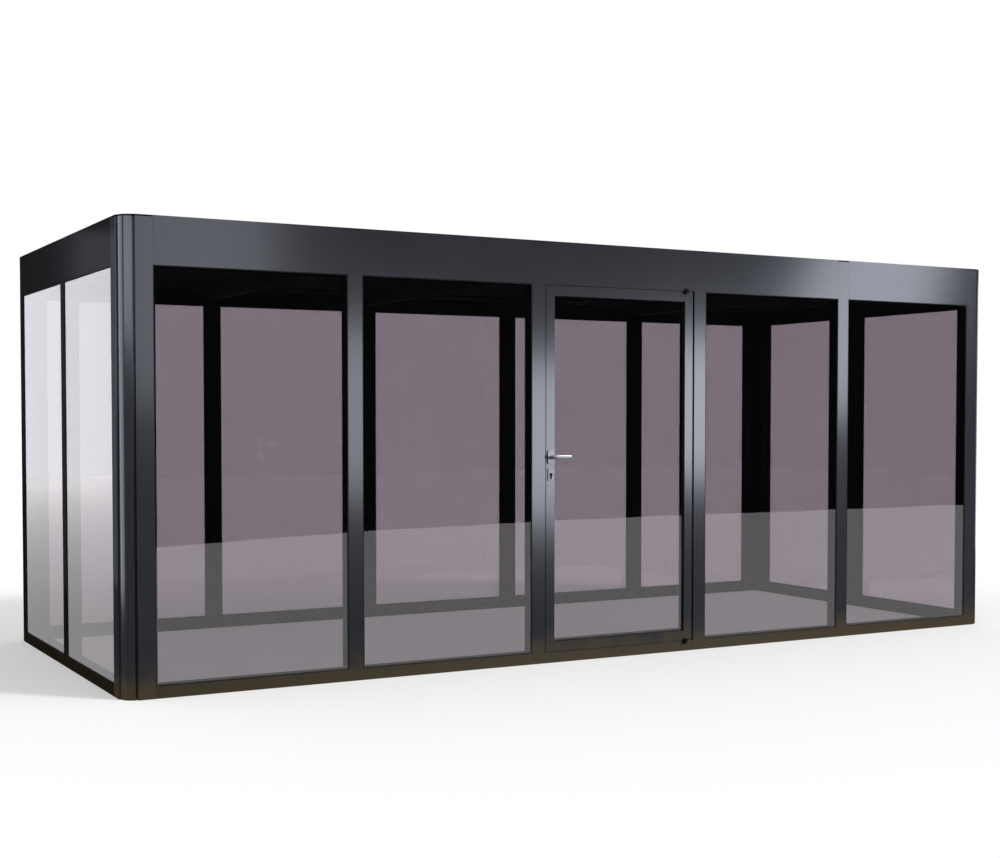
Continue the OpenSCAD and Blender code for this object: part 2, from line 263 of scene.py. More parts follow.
# %% [markdown]
# ## Lamps
#
# One soft sun stands high on the right in front, which is where the handle's shadow in the picture
# points to. The satin coat also shows soft bright patches, one on each front post. Such a patch is the
# blurred mirror image of a lamp, so it can be planned: follow the line from the camera to the spot on
# the wall, bounce it off, and put the lamp on that line. The last patch slants, so its lamp is an oval.
#
# Light linking lets the patch lamps light the coat alone, as a polarising filter takes lamp images off
# window panes. The round nose of the front left corner has two lamps for its two bright stripes. The
# left panes get a white sheet of their own to mirror, the steel of the handle three, and a sheet each
# keeps the back wall and the right wall from going flat black.

# %% Lamps
coated = bpy.data.collections.new("coated_metal")
left_glazed = bpy.data.collections.new("left_glazed")
bright = bpy.data.collections.new("bright_steel")
rounded = bpy.data.collections.new("rounded_corner")
wall_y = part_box("front_post_1")[0].y
patch_distance = 6.0
sun_level, sun_spread, sun_way = 1.65, math.radians(10.0), Vector((-0.579, 0.579, -0.574))


def lamp(name, place, target, size, radiance, receivers, shape="RECTANGLE", turn=0.0):
    """A soft lamp of one brightness all over, which looks at a target and lights some pieces only."""
    light = bpy.data.lights.new(name, "AREA")
    light.shape = shape
    light.size, light.size_y = size
    filled = math.pi / 4 if shape == "ELLIPSE" else 1.0
    light.energy = radiance * math.pi * size[0] * size[1] * filled
    light.color = colour("#ecf1ff")[:3]
    stand = bpy.data.objects.new(name, light)
    stand.location = place
    stand.rotation_euler = (target - place).to_track_quat("-Z", "Y").to_euler()
    stand.rotation_euler.rotate_axis("Z", math.radians(turn))
    stand.visible_camera = False
    stand.light_linking.receiver_collection = receivers
    scene.collection.objects.link(stand)


def patch_lamp(name, x, z, radiance, size=(1.5, 1.5), shape="RECTANGLE", turn=0.0):
    """A lamp whose mirror image lies at x, z on the front wall."""
    spot = Vector((x, wall_y, z))
    bounce = (spot - eye).normalized()
    bounce.y = -bounce.y
    lamp(name, spot + bounce * patch_distance, spot, size, radiance, coated, shape, turn)


sun = bpy.data.lights.new("key_sun", "SUN")
sun.energy = sun_level
sun.angle = sun_spread
key = bpy.data.objects.new("key_sun", sun)
key.rotation_euler = sun_way.to_track_quat("-Z", "Y").to_euler()
scene.collection.objects.link(key)

patch_lamp("patch_corner", -2.48, 2.07, 5.6, (1.5, 2.4))
patch_lamp("patch_post_1", -1.62, 1.38, 11.5)
patch_lamp("patch_post_2", -0.53, 1.22, 17.9)
patch_lamp("patch_post_3", 0.51, 1.4, 19.4, (1.5, 1.4))
patch_lamp("patch_post_4", 1.78, 2.03, 14.8, (1.3, 2.5), "ELLIPSE", -25.0)

nose = Vector((cad_low.x + 0.075, wall_y + 0.075, 1.53))
nose_head = nose + Vector((0.0, 0.0, 1.05))
corner_face = Vector((cad_low.x, wall_y + 0.1, 1.3))
left_wall, left_place = Vector((cad_low.x, 0.0, 1.274)), Vector((-4.2, 5.9, 2.024))
back_wall, right_wall = Vector((0.6, 1.1, 1.35)), Vector((cad_high.x, 0.2, 1.35))
lever_spot = Vector((-0.4, wall_y, 1.13))
lamp("nose_sheet", nose + Vector((-2.85, 0.95, 0.0)), nose, (2.4, 2.8), 6.2, rounded)
lamp("nose_patch", nose_head + Vector((-3.35, -3.72, 0.0)), nose_head, (6.2, 1.25), 8.7, rounded)
lamp("corner_strip", corner_face + Vector((-0.81, 3.1, 0.1)), corner_face, (0.5, 2.4), 0.2, coated)
lamp("left_sheet", left_place, left_wall, (1.8, 2.5), 0.6, left_glazed)
lamp("back_sheet", Vector((0.6, 5.4, 1.35)), back_wall, (6.5, 2.5), 2.0, coated)
lamp("right_sheet", Vector((7.0, 0.8, 1.35)), right_wall, (4.5, 2.5), 2.0, coated)
lamp("steel_sheet", lever_spot + Vector((2.6, -4.2, 0.6)), lever_spot, (4.0, 3.0), 0.9, bright)
lamp("steel_top", lever_spot + Vector((0.4, -2.6, 3.6)), lever_spot, (3.0, 2.0), 0.9, bright)
lamp("steel_left", lever_spot + Vector((-2.6, -3.1, 0.4)), lever_spot, (4.8, 2.4), 0.7, bright)

# %% [markdown]
# ## Satin powder coat
#
# The posts, fascia, sills and the door's bars are aluminium extrusions with a baked powder coat in
# anthracite. Powder melts into a skin that is even from afar and slightly pebbled close up, with soft
# highlights. Near the ground the coat turns brown: partly earth that splashes up and dries on it, and
# partly a painted warm reflection of the ground. Faces that look up hold dust, which takes their gloss.
# The pebble is about 2 mm wide on the real coat and is drawn at 6 mm, so that it still shows in a
# picture of the whole room.

# %% Satin powder coat
def finish(name):
    """A new material, its node tree, its shader, and the coordinates that its patterns read."""
    material = bpy.data.materials.new(name)
    material.use_nodes = True
    tree = material.node_tree
    return material, tree, tree.nodes["Principled BSDF"], add(tree, "ShaderNodeTexCoord").outputs


def per_metre(size_mm):
    """The texture scale at which one feature is size_mm wide."""
    return 1.0 / (size_mm * MM)


earth_and_reflection_h, earth_and_reflection_foot, earth_and_reflection_strength, splash_dulls = 0.4, 0.02, 0.45, 0.15
powder_coat, tree, shader, place = finish("anthracite_powder_coat_on_aluminium")
cloud = add(tree, "ShaderNodeTexNoise", {"Vector": place["Object"], "Scale": per_metre(400), "Detail": 3.0})
coat = add(tree, "ShaderNodeMix", {0: cloud, 6: colour("#1b1c1f"), 7: colour("#222326")}, data_type="RGBA")
height = add(tree, "ShaderNodeSeparateXYZ", {0: place["Object"]})
# The brown band near the ground, masked by low, is partly dried earth and partly a painted warm reflection
# of the ground
ragged_reach = add(tree, "ShaderNodeTexNoise", {"Vector": place["Object"], "Scale": per_metre(90), "Detail": 5.0})
reach = add(tree, "ShaderNodeMath", {0: ragged_reach, 1: earth_and_reflection_h, 2: earth_and_reflection_foot}, operation="MULTIPLY_ADD")
low = add(tree, "ShaderNodeMapRange", {"Value": height.outputs["Z"], "From Min": reach, "From Max": 0.0,
                                       "To Max": earth_and_reflection_strength}, interpolation_type="SMOOTHSTEP")
earth_and_painted_reflection = add(tree, "ShaderNodeMix", {0: low, 6: coat.outputs[2], 7: colour("#43371a")}, data_type="RGBA")
pebble = add(tree, "ShaderNodeTexNoise", {"Vector": place["Object"], "Scale": per_metre(6), "Detail": 2.0})
sheen = add(tree, "ShaderNodeMapRange", {"Value": pebble, "To Min": 0.14, "To Max": 0.2})
dull = add(tree, "ShaderNodeMath", {0: low, 1: splash_dulls, 2: sheen}, operation="MULTIPLY_ADD")
facing = add(tree, "ShaderNodeSeparateXYZ", {0: place["Normal"]})
dust = add(tree, "ShaderNodeMapRange", {"Value": facing.outputs["Z"], "From Min": 0.2, "From Max": 0.8,
                                        "To Max": 0.95})
matt = add(tree, "ShaderNodeMath", {0: dull, 1: dust}, operation="MAXIMUM")
skin = add(tree, "ShaderNodeBump", {"Height": pebble, "Strength": 0.05, "Distance": 0.5 * MM})
feed(shader, {"Base Color": earth_and_painted_reflection.outputs[2], "Roughness": matt, "Normal": skin})
feed(shader, {"Specular IOR Level": 0.25})
print(powder_coat.name, len(tree.nodes), "nodes")

# %% [markdown]
# ## The other hard finishes
#
# Behind the roof edge lies a coated steel sheet, duller than the posts, with faint rain marks. The caps
# and hinge blocks are black: caps of moulded nylon with a fine spark texture, hinge blocks of painted
# die-cast zinc. The handle and its plates are satin stainless steel, brushed along their length, and the
# lock's barrel is blackened brass. A metal keeps the default IOR and takes its colour in Base Color. In
# each of these one pattern moves tone and gloss together, because wear or making changed both at once.

# %% Roof sheet
def vary(shader, pattern, tones, gloss, relief=None):
    """Lets a pattern move a finish between two tones and two roughnesses, and emboss it by its relief."""
    tree = shader.id_data
    dark, light = [colour(tone) for tone in tones]
    tone = add(tree, "ShaderNodeMix", {0: pattern, 6: dark, 7: light}, data_type="RGBA")
    matt = add(tree, "ShaderNodeMapRange", {"Value": pattern, "To Min": gloss[0], "To Max": gloss[1]})
    feed(shader, {"Base Color": tone.outputs[2], "Roughness": matt})
    if relief:
        skin = add(tree, "ShaderNodeBump", {"Height": pattern, "Strength": relief[0], "Distance": relief[1]})
        feed(shader, {"Normal": skin})


roof_sheet, tree, shader, place = finish("matt_coated_steel_sheet")
marks = add(tree, "ShaderNodeTexNoise", {"Vector": place["Object"], "Scale": per_metre(150), "Detail": 6.0})
vary(shader, marks, ("#3a3b3e", "#48494c"), (0.45, 0.7))
grain = add(tree, "ShaderNodeTexNoise", {"Vector": place["Object"], "Scale": per_metre(5), "Detail": 2.0})
skin = add(tree, "ShaderNodeBump", {"Height": grain, "Strength": 0.12, "Distance": 0.5 * MM})
feed(shader, {"Normal": skin, "Specular IOR Level": 0.15})
print(roof_sheet.name, len(tree.nodes), "nodes")

# %% Black nylon and black zinc
black_nylon, tree, shader, place = finish("black_moulded_nylon")
spark = add(tree, "ShaderNodeTexVoronoi", {"Vector": place["Object"], "Scale": per_metre(2)})
vary(shader, spark, ("#0e0e10", "#17171a"), (0.65, 0.8), (0.1, 0.2 * MM))
feed(shader, {"Specular IOR Level": 0.1})

black_zinc, tree, shader, place = finish("black_painted_zinc")
cast = add(tree, "ShaderNodeTexNoise", {"Vector": place["Object"], "Scale": per_metre(4), "Detail": 4.0})
vary(shader, cast, ("#0c0c0e", "#161618"), (0.35, 0.5), (0.15, 0.3 * MM))
feed(shader, {"Specular IOR Level": 0.2})
print(black_nylon.name, "and", black_zinc.name)

# %% Satin stainless steel and blackened brass
satin_steel, tree, shader, place = finish("satin_stainless_steel")
along = add(tree, "ShaderNodeMapping", {"Vector": place["Object"], "Scale": (0.04, 1.0, 1.0)})
brush = add(tree, "ShaderNodeTexNoise", {"Vector": along, "Scale": per_metre(1.2), "Detail": 3.0})
vary(shader, brush, ("#bdbcbd", "#d6d5d6"), (0.24, 0.4), (0.08, 0.1 * MM))
feed(shader, {"Metallic": 1.0})

black_brass, tree, shader, place = finish("blackened_brass")
wear = add(tree, "ShaderNodeTexNoise", {"Vector": place["Object"], "Scale": per_metre(3), "Detail": 5.0})
vary(shader, wear, ("#19181a", "#2b292a"), (0.3, 0.5))
feed(shader, {"Metallic": 1.0})
print(satin_steel.name, "and", black_brass.name)

# %% [markdown]
# ## Tinted glass and rubber
#
# The panes are float glass with a grey-mauve tint in its body and a hard metal-oxide film against the
# sun. The white studio behind two panes is about a fifth as bright as beside them, so one pane lets less
# than half the light through. The film mirrors more than bare glass does, so the IOR is that of the
# oxide, about 2, and not the 1.52 of glass. A pane has two real faces, and roller waves some 300 mm long
# bend the image a little. The gaskets are black rubber, dull and faintly dusty.

# %% Tinted glass
film_ior = 2.0
tinted_glass, tree, shader, place = finish("grey_tinted_float_glass")
haze = add(tree, "ShaderNodeTexNoise", {"Vector": place["Object"], "Scale": per_metre(700), "Detail": 2.0})
tint = add(tree, "ShaderNodeMix", {0: haze, 6: colour("#c3bac2"), 7: colour("#c7bec6")}, data_type="RGBA")
wave = add(tree, "ShaderNodeTexNoise", {"Vector": place["Object"], "Scale": per_metre(300), "Detail": 0.0})
ripple = add(tree, "ShaderNodeBump", {"Height": wave, "Strength": 0.2, "Distance": 0.5 * MM})
feed(shader, {"Base Color": tint.outputs[2], "Normal": ripple, "Roughness": 0.0})
feed(shader, {"Transmission Weight": 1.0, "IOR": film_ior})
print(tinted_glass.name, len(tree.nodes), "nodes")

# %% Black rubber
black_rubber, tree, shader, place = finish("black_gasket_rubber")
bloom = add(tree, "ShaderNodeTexNoise", {"Vector": place["Object"], "Scale": per_metre(8), "Detail": 4.0})
vary(shader, bloom, ("#0b0b0c", "#18181a"), (0.6, 0.85), (0.1, 0.3 * MM))
print(black_rubber.name, len(tree.nodes), "nodes")

# %% [markdown]
# ## Coated bars
#
# Extrusions have no knife edges: each corner has a small radius that catches a line of light, and two
# bars that meet show a hairline between their radii. A copy of each CAD node is merged into a closed
# shell, its flat faces are joined, and its sharp edges are bevelled. The CAD model chamfers the ends of
# fascia and sills. Those are squared first, or a dark groove would show in place of the hairline. Curved
# faces and bevels are shaded smooth and flat faces flat, so that a long face keeps one even tone.

# %% Coated bars
weld, edge_r = 0.01 * MM, 0.4 * MM
# Faces that meet at less than level_angle are one flat face, and from curve_angle to facet_angle one curve
level_angle, curve_angle, facet_angle = math.radians(0.5), 0.01, 0.5
# The least share of an upright chamfer's normal that lies along x, and along y
chamfer_share = 0.6


def is_sharp(edge):
    """Whether two faces meet here at more than a facet's small angle."""
    return edge.calc_face_angle(0.0) > facet_angle


def square_ends(shell):
    """Takes the small upright chamfers off a bar's ends, so that only a hairline shows where bars meet."""
    for face in [f for f in shell.faces if min(abs(f.normal.x), abs(f.normal.y)) > chamfer_share]:
        corner_x = (max if face.normal.x > 0 else min)(v.co.x for v in face.verts)
        corner_y = (max if face.normal.y > 0 else min)(v.co.y for v in face.verts)
        for vert in face.verts:
            vert.co.xy = corner_x, corner_y
    bmesh.ops.dissolve_degenerate(shell, dist=weld, edges=shell.edges)


def rounded_copy(node, radius, segments=2, corner=0.0):
    """A bmesh copy of a CAD node with its sharp edges rounded, and its edges along y by corner first."""
    shell = bmesh.new()
    shell.from_mesh(frame["nodes"][node].data)
    bmesh.ops.remove_doubles(shell, verts=shell.verts, dist=weld)
    if node.endswith(("_fascia", "_sill")):
        square_ends(shell)
    bmesh.ops.dissolve_limit(shell, angle_limit=level_angle, verts=shell.verts, edges=shell.edges)
    if corner:
        sharp = [edge for edge in shell.edges if is_sharp(edge)]
        across = [e for e in sharp if (e.verts[0].co - e.verts[1].co).xz.length < weld]
        bmesh.ops.bevel(shell, geom=across, offset=corner, segments=6, profile=0.5, affect="EDGES")
    for face in shell.faces:
        face.smooth = any(curve_angle < edge.calc_face_angle(0.0) < facet_angle for edge in face.edges)
    sharp = [edge for edge in shell.edges if is_sharp(edge)]
    rounds = bmesh.ops.bevel(shell, geom=sharp, offset=radius, segments=segments, profile=0.5,
                             affect="EDGES", clamp_overlap=True)
    for face in rounds["faces"]:
        face.smooth = True
    # The rim of a rounding is creased, so that it doesn't tilt the light on a long curved face beside it
    inside = set(rounds["faces"])
    for edge in {edge for face in rounds["faces"] for edge in face.edges}:
        edge.smooth = inside.issuperset(edge.link_faces)
    return shell


def settle(shape, name, body, material, stands_for=()):
    """Makes a piece of a bmesh or a mesh: at the origin, riding on its body, in its finish."""
    mesh = shape
    if isinstance(shape, bmesh.types.BMesh):
        mesh = bpy.data.meshes.new(name)
        shape.to_mesh(mesh)
        shape.free()
    if not mesh.materials:
        mesh.materials.append(material)
    piece = bpy.data.objects.new(name, mesh)
    scene.collection.objects.link(piece)
    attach(piece, body)
    if stands_for:
        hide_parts(*stands_for)
    if material in receivers:
        receivers[material].objects.link(piece)
    return piece


receivers = {powder_coat: coated, roof_sheet: coated, satin_steel: bright}
house_bars = [n for n in frame["nodes"] if n.endswith(("_fascia", "_sill", "_threshold"))]
house_bars += [n for n in frame["nodes"] if "_post" in n]
door_bars = ["latch_stile", "hinge_stile", "top_rail", "bottom_rail"]
for node in house_bars:
    piece = settle(rounded_copy(node, edge_r), node + "_coated", "house", powder_coat, [node])
    if node == "corner_post_front_left":
        rounded.objects.link(piece)
for node in door_bars:
    settle(rounded_copy(node, edge_r), node + "_coated", "door", powder_coat, [node])
print("coated bars:", len(house_bars) + len(door_bars))

# %% [markdown]
# ## Panes
#
# A pane is cut a little smaller than its opening and its edges are ground, so the glass never touches
# metal. The boxes of the panes are read from the loose solids in the CAD nodes, and each is remade 1 mm
# smaller all round with a small ground edge. Nothing about a pane's size is typed here.

# %% Panes
def solid_boxes(node):
    """The lowest and highest corner of each separate solid in a CAD node."""
    shell = bmesh.new()
    shell.from_mesh(frame["nodes"][node].data)
    bmesh.ops.remove_doubles(shell, verts=shell.verts, dist=weld)
    left = set(shell.verts)
    boxes = []
    while left:
        group = [left.pop()]
        for vert in group:
            joined = {edge.other_vert(vert) for edge in vert.link_edges} & left
            left -= joined
            group += joined
        corners = [vert.co for vert in group]
        boxes.append([Vector([pick(c[i] for c in corners) for i in range(3)]) for pick in (min, max)])
    shell.free()
    return sorted(boxes, key=lambda box: tuple(round(v, 4) for v in box[0]))


def add_block(shape, low, high, edge):
    """Adds a box with rounded edges to a bmesh."""
    block = bmesh.ops.create_cube(shape, size=1.0)["verts"]
    for vert in block:
        vert.co = Vector([low[i] + (vert.co[i] + 0.5) * (high[i] - low[i]) for i in range(3)])
    edges = {e for vert in block for e in vert.link_edges}
    bmesh.ops.bevel(shape, geom=list(edges), offset=edge, segments=1, affect="EDGES")


def thin_axis(low, high):
    """The axis along which a pane is thinnest."""
    return min(range(3), key=lambda i: high[i] - low[i])


pane_gap, ground_edge = 1.0 * MM, 0.8 * MM
panes = {"house": [], "door": []}
for node, body in (("front_glass", "house"), ("back_glass", "house"), ("left_glass", "house"),
                   ("right_glass", "house"), ("door_glass", "door")):
    boxes = solid_boxes(node)
    panes[body] += boxes
    sheets = bmesh.new()
    for low, high in boxes:
        axis = thin_axis(low, high)
        inset = Vector([0.0 if i == axis else pane_gap for i in range(3)])
        add_block(sheets, low + inset, high - inset, ground_edge)
    piece = settle(sheets, node + "_panes", body, tinted_glass, [node])
    if node == "left_glass":
        left_glazed.objects.link(piece)
print("panes:", {body: len(boxes) for body, boxes in panes.items()})

# %% [markdown]
# ## Gaskets
#
# A round rubber bead is pressed in between glass and metal on both faces of every pane, and shows as a
# thin black line. It follows a path, so Geometry Nodes sweep it: each pane gives one loop on each face,
# the tree turns loops into curves, rounds their corners and sweeps a circle along them.

# %% Helpers for growing
def new_tree(name, given, made):
    """A Geometry Nodes tree with named inputs and one output, and what its inputs give."""
    tree = bpy.data.node_groups.new(name, "GeometryNodeTree")
    for label, kind in given.items():
        tree.interface.new_socket(label, in_out="INPUT", socket_type="NodeSocket" + kind)
    tree.interface.new_socket(made, in_out="OUTPUT", socket_type="NodeSocketGeometry")
    return tree, add(tree, "NodeGroupInput").outputs


def close_tree(tree, geometry, given):
    """Ends a tree in real mesh with its finish."""
    real = add(tree, "GeometryNodeRealizeInstances", {"Geometry": geometry})
    dressed = add(tree, "GeometryNodeSetMaterial", {"Geometry": real, "Material": given["Finish"]})
    add(tree, "NodeGroupOutput", {0: dressed})


def guide(name, points, lines=(), ways=()):
    """A bare mesh of points and lines for a tree to grow on, with the way out at each point."""
    mesh = bpy.data.meshes.new(name)
    mesh.from_pydata(points, lines, [])
    if ways:
        out = mesh.attributes.new("out", "FLOAT_VECTOR", "POINT")
        out.data.foreach_set("vector", [v for way in ways for v in way])
    return mesh


def grown(tree, mesh, values):
    """The plain mesh that a tree makes from a mesh of points and lines."""
    seed = bpy.data.objects.new(tree.name + "_seed", mesh)
    scene.collection.objects.link(seed)
    modifier = seed.modifiers.new("grow", "NODES")
    modifier.node_group = tree
    for item in tree.interface.items_tree:
        if item.in_out == "INPUT" and item.name in values:
            modifier[item.identifier] = values[item.name]
    graph = bpy.context.evaluated_depsgraph_get()
    made = bpy.data.meshes.new_from_object(seed.evaluated_get(graph), preserve_all_data_layers=True,
                                           depsgraph=graph)
    seed.modifiers.remove(modifier)
    bpy.data.objects.remove(seed)
    bpy.data.meshes.remove(mesh)
    return made


print("helpers for growing are ready")

# %% Gaskets
gasket_tree, given = new_tree("gasket_bead", {"Loops": "Geometry", "Bead radius": "Float",
                                              "Corner radius": "Float", "Finish": "Material"}, "Gaskets")
loops = add(gasket_tree, "GeometryNodeMeshToCurve", {"Mesh": given["Loops"]})
bent = add(gasket_tree, "GeometryNodeFilletCurve", {"Curve": loops, "Count": 3,
                                                    "Radius": given["Corner radius"]}, mode="POLY")
ring = add(gasket_tree, "GeometryNodeCurvePrimitiveCircle", {"Resolution": 8,
                                                             "Radius": given["Bead radius"]})
bead = add(gasket_tree, "GeometryNodeCurveToMesh", {"Curve": bent, "Profile Curve": ring})
smooth = add(gasket_tree, "GeometryNodeSetShadeSmooth", {"Geometry": bead})
close_tree(gasket_tree, smooth, given)


def rectangle(low, high, axis, at, inset):
    """Four corners of a rectangle across an axis, moved in from a box's sides by inset."""
    a, b = [i for i in range(3) if i != axis]
    corners = []
    for at_a, at_b in ((0, 0), (1, 0), (1, 1), (0, 1)):
        corner = Vector((at, at, at))
        corner[a] = (low[a] + inset, high[a] - inset)[at_a]
        corner[b] = (low[b] + inset, high[b] - inset)[at_b]
        corners.append(corner)
    return corners


bead_r, bead_bend = 3.0 * MM, 4.0 * MM
for body, boxes in panes.items():
    points = []
    for low, high in boxes:
        axis = thin_axis(low, high)
        for at in (low[axis], high[axis]):
            points += rectangle(low, high, axis, at, bead_r)
    lines = [(i, i + 1 if i % 4 < 3 else i - 3) for i in range(len(points))]
    beads = grown(gasket_tree, guide("gasket_loops", points, lines),
                  {"Bead radius": bead_r, "Corner radius": bead_bend, "Finish": black_rubber})
    settle(beads, body + "_gaskets", body, black_rubber)
    print(body, "gaskets:", len(points) // 4, "loops,", len(beads.polygons), "faces")

# %% [markdown]
# ## Glazing beads
#
# From outside the panes lie against a lip. Inside, a snap-in aluminium bead holds each pane all round,
# with mitred corners. Sweeping a square section round a sharp corner would pinch it, so the ring is
# made directly: the same section is placed at the four corners, moved in by its own depth, and joined.

# %% Glazing beads
def join_rows(shape, rows, smooth=False):
    """Adds the faces between each closed row of points and the next one to a bmesh."""
    for first, second in zip(rows, rows[1:]):
        for k in range(len(first)):
            n = (k + 1) % len(first)
            shape.faces.new((first[k], first[n], second[n], second[k])).smooth = smooth


def add_ring(shape, low, high, axis, section):
    """Adds a mitred ring to a bmesh. section has points of (moved in, place along the axis)."""
    rows = []
    for inset, at in section:
        rows.append([shape.verts.new(corner) for corner in rectangle(low, high, axis, at, inset)])
    join_rows(shape, rows + rows[:1])
    bmesh.ops.recalc_face_normals(shape, faces=shape.faces)


bead_w, bead_d, bead_edge, bead_gap = 14.0 * MM, 12.0 * MM, 2.0 * MM, 0.5 * MM
room = (cad_low + cad_high) / 2
for body, boxes in panes.items():
    rings = bmesh.new()
    for low, high in boxes:
        axis = thin_axis(low, high)
        way = 1.0 if (low[axis] + high[axis]) / 2 < room[axis] else -1.0
        start = (high if way > 0 else low)[axis] + way * 2.0 * bead_r
        end = start + way * bead_d
        add_ring(rings, low, high, axis, [(bead_gap, start), (bead_w, start),
                                          (bead_w, end - way * bead_edge),
                                          (bead_w - bead_edge, end), (bead_gap, end)])
    settle(rings, body + "_glazing_beads", body, powder_coat)
    print(body, "glazing beads go", round(bead_d / MM), "mm inwards")

# %% [markdown]
# ## Roof
#
# Behind the fascia lies a flat roof of five panels on beams. The picture doesn't show its top, so it is
# finished plainly, as such roofs are: a folded flashing seals the panels to the fascia all round, and a
# cover strip closes each joint between two panels. The strips follow lines, so Geometry Nodes sweep a
# flat trapezium along them, with the curve's normal kept upright so that no strip turns over.

# %% Roof
sheet_edge, lap = 1.0 * MM, 0.3 * MM
for node in ("roof_panels", "roof_beams", "roof_ledges"):
    settle(rounded_copy(node, sheet_edge), node + "_coated", "house", roof_sheet, [node])
roof_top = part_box("roof_panels")[1].z + lap
inner_low = Vector((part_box("left_fascia")[1].x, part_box("front_fascia")[1].y, 0.0))
inner_high = Vector((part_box("right_fascia")[0].x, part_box("back_fascia")[0].y, 0.0))

flash_w, flash_h, flash_t = 55.0 * MM, 60.0 * MM, 2.0 * MM
flashing = bmesh.new()
add_ring(flashing, inner_low, inner_high, 2,
         [(lap, roof_top), (flash_w, roof_top), (flash_w, roof_top + flash_t),
          (2 * flash_t, roof_top + flash_t), (flash_t, roof_top + 2 * flash_t),
          (flash_t, roof_top + flash_h), (lap, roof_top + flash_h)])
settle(flashing, "roof_flashing", "house", roof_sheet)

strip_w, strip_h, strip_gap, strip_crown_share = 70.0 * MM, 6.0 * MM, 1.0 * MM, 0.8
strip_tree, given = new_tree("cover_strip", {"Lines": "Geometry", "Width": "Float", "Height": "Float",
                                             "Finish": "Material"}, "Strips")
routes = add(strip_tree, "GeometryNodeMeshToCurve", {"Mesh": given["Lines"]})
upright = add(strip_tree, "GeometryNodeSetCurveNormal", {"Curve": routes}, mode="Z_UP")
crown = add(strip_tree, "ShaderNodeMath", {0: given["Width"], 1: strip_crown_share}, operation="MULTIPLY")
section = add(strip_tree, "GeometryNodeCurvePrimitiveQuadrilateral",
              {"Height": given["Height"], "Bottom Width": given["Width"], "Top Width": crown, "Offset": 0.0},
              mode="TRAPEZOID")
strip = add(strip_tree, "GeometryNodeCurveToMesh", {"Curve": upright, "Profile Curve": section,
                                                    "Fill Caps": True})
close_tree(strip_tree, strip, given)

panel_boxes = solid_boxes("roof_panels")
joint_xs = [(left[1].x + right[0].x) / 2 for left, right in zip(panel_boxes, panel_boxes[1:])]
strip_ends = [inner_low.y + flash_w + strip_gap, inner_high.y - flash_w - strip_gap]
points = [(x, y, roof_top + strip_h / 2) for x in joint_xs for y in strip_ends]
lines = [(i, i + 1) for i in range(0, len(points), 2)]
strips = grown(strip_tree, guide("strip_lines", points, lines),
               {"Width": strip_w, "Height": strip_h, "Finish": roof_sheet})
settle(strips, "roof_cover_strips", "house", roof_sheet)
print("cover strips at x =", [round(x, 3) for x in joint_xs], "faces:", len(strips.polygons))

# %% [markdown]
# ## Caps, stops and hinge blocks
#
# A flat black cap closes the top of each hollow post, and on a corner post also the two grooves beside
# the round nose. A rubber stop runs up both sides and along the top behind the leaf. Four black blocks
# are the hinges: two on the frame, two on the leaf, with a pin. Their shapes are right in the CAD model,
# so they are rounded copies, softer or sharper as each was made.

# %% Caps, stops and hinge blocks
for node, radius, body, slot, material in (("post_caps", 1.5 * MM, "house", "cap", black_nylon),
                                           ("door_stops", 3.5 * MM, "house", "seal", black_rubber),
                                           ("hinge_brackets", 1.5 * MM, "house", "hinge", black_zinc),
                                           ("hinge_leaves", 1.5 * MM, "door", "hinge", black_zinc)):
    piece = settle(rounded_copy(node, radius, 3), node + "_rounded", body, material, [node])
    print(piece.name, len(piece.data.polygons), "faces")

# Each groove lies between these distances from the corner, and between these depths in the wall, in mm
groove_at, groove_in = (62.0, 76.0), (4.0, 21.0)
cover_drop, cover_edge = 0.2 * MM, 1.0 * MM
cap_low, cap_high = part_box("post_caps")
covers = bmesh.new()
for corner_x, in_x in ((cap_low.x, MM), (cap_high.x, -MM)):
    for corner_y, in_y in ((cap_low.y, MM), (cap_high.y, -MM)):
        for across, along in ((groove_at, groove_in), (groove_in, groove_at)):
            xs = sorted(corner_x + in_x * v for v in across)
            ys = sorted(corner_y + in_y * v for v in along)
            add_block(covers, (xs[0], ys[0], cap_low.z), (xs[1], ys[1], cap_high.z - cover_drop), cover_edge)
settle(covers, "groove_covers", "house", black_nylon)

# %% [markdown]
# ## Lips round the leaf
#
# The leaf clears the fascia, the threshold and the latch post by a few millimetres. On the real door a
# slim aluminium lip on the leaf fills most of that gap and throws the rain off, so hardly a line shows
# there. Each lip is one long block with soft edges, set back from the face and just short of the bar
# that it faces. The upright one is shallow, because the latch needs the room behind it.

# %% Lips round the leaf
leaf_low, leaf_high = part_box("latch_stile")[0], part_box("hinge_stile")[1]
lip_clear, lip_back, lip_d, lip_edge = 1.5 * MM, 3.5 * MM, 5.0 * MM, 0.5 * MM
lip_foot, lip_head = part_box("door_threshold")[1].z + lip_clear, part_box("front_fascia")[0].z - lip_clear
lip_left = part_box("front_post_2")[1].x + lip_clear
lip_y = leaf_low.y + lip_back
lips = bmesh.new()
for foot, head in ((leaf_high.z, lip_head), (lip_foot, leaf_low.z)):
    far_corner = (leaf_high.x - lip_back, leaf_high.y - lip_back, head)
    add_block(lips, (leaf_low.x, lip_y, foot), far_corner, lip_edge)
add_block(lips, (lip_left, lip_y, lip_foot), (leaf_low.x, lip_y + lip_d, lip_head), lip_edge)
settle(lips, "leaf_edge_lips", "door", powder_coat)
print("lips fill", round((lip_head - leaf_high.z) / MM, 1), "mm over the leaf and",
      round((leaf_low.x - lip_left) / MM, 1), "mm beside it")

# %% [markdown]
# ## Rose, keyhole plate and lock
#
# The handle sits on a rose, and the lock has a plate of its own below. Both are thin steel pressings
# with round corners and a soft edge, one on each face of the leaf. The barrel shows in the plate's hole
# as a dark keyhole shape. Its key slot is cut with a Boolean, because a slot has a real depth.

# %% Rose, keyhole plate and lock
for node, radius, corner in (("handle_roses", 1.5 * MM, 9.0 * MM), ("keyhole_plates", 1.2 * MM, 7.0 * MM)):
    settle(rounded_copy(node, radius, 3, corner), node + "_rounded", "door", satin_steel, [node])


